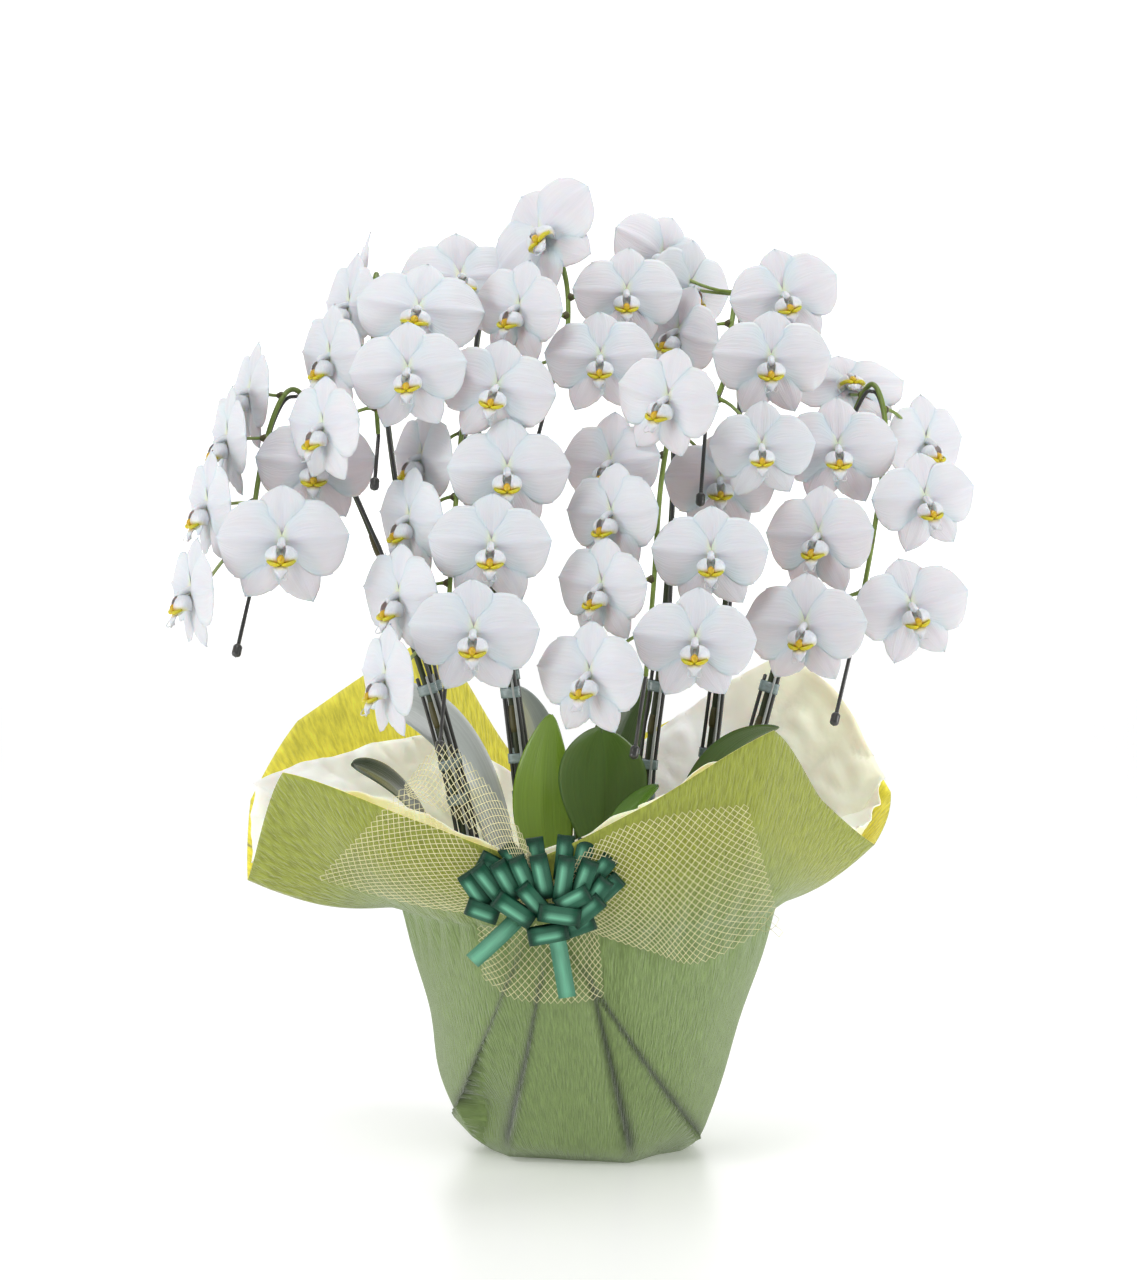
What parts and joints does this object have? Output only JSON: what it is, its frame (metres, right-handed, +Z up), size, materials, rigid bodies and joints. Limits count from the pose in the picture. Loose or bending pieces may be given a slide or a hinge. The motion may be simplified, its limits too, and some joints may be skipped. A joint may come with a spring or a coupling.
{
  "type": "potted orchid",
  "caption": "Potted moth orchid with arching spikes of large white blooms on support wires, in a pot gift-wrapped in green crepe with a net ribbon and a bow.",
  "frame": {"origin": "centre of the flat underside of the wrapped pot, on the surface it stands on", "axes": "+Z up, +X to the viewer's right and -Y towards the viewer, with the bow, the net ribbon and most blooms at the front"},
  "size_m": [0.7347, 0.4486, 0.8966],
  "materials": {
    "petal": "satin",
    "stem": "satin",
    "wire": "satin",
    "leaf": "glossy",
    "pot": "glossy",
    "bark": "matte",
    "crepe": "matte",
    "liner": "matte",
    "net": "satin",
    "satin": "glossy"
  },
  "bodies": {
    "root": {"pot": "pot", "growing_medium": "bark", "crepe_wrap": "crepe", "liner_sheet": "liner", "net_ribbon": "net", "bow": "satin", "leaf_left_broad": "leaf", "leaf_left_low": "leaf", "leaf_back_grey": "leaf", "leaf_mid_pale": "leaf", "leaf_mid_tall": "leaf", "leaf_mid_round": "leaf", "leaf_front_edge": "leaf", "leaf_right_broad": "leaf", "flower_spike_far_left": "stem", "support_wire_far_left": "wire", "bloom_far_left_3": "petal", "bloom_far_left_4": "petal", "bloom_far_left_5": "petal", "bloom_far_left_6": "petal", "flower_spike_upper_left": "stem", "support_wire_upper_left": "wire", "bloom_upper_left_3": "petal", "bloom_upper_left_4": "petal", "bloom_upper_left_5": "petal", "bloom_upper_left_6": "petal", "flower_spike_top_centre": "stem", "support_wire_top_centre": "wire", "bloom_top_centre_3": "petal", "bloom_top_centre_4": "petal", "bloom_top_centre_5": "petal", "bloom_top_centre_6": "petal", "flower_spike_top_right": "stem", "support_wire_top_right": "wire", "bloom_top_right_3": "petal", "bloom_top_right_4": "petal", "bloom_top_right_5": "petal", "bloom_top_right_6": "petal", "bloom_top_right_7": "petal", "flower_spike_far_right": "stem", "support_wire_far_right": "wire", "bloom_far_right_3": "petal", "bloom_far_right_4": "petal", "bloom_far_right_5": "petal", "bloom_far_right_6": "petal", "bloom_far_right_7": "petal", "flower_spike_front_left": "stem", "support_wire_front_left": "wire", "bloom_front_left_3": "petal", "bloom_front_left_4": "petal", "bloom_front_left_5": "petal", "bloom_front_left_6": "petal", "bloom_front_left_7": "petal", "flower_spike_front_right": "stem", "support_wire_front_right": "wire", "bloom_front_right_3": "petal", "bloom_front_right_4": "petal", "bloom_front_right_5": "petal", "bloom_front_right_6": "petal", "bloom_front_right_7": "petal"}
  },
  "joints": []
}
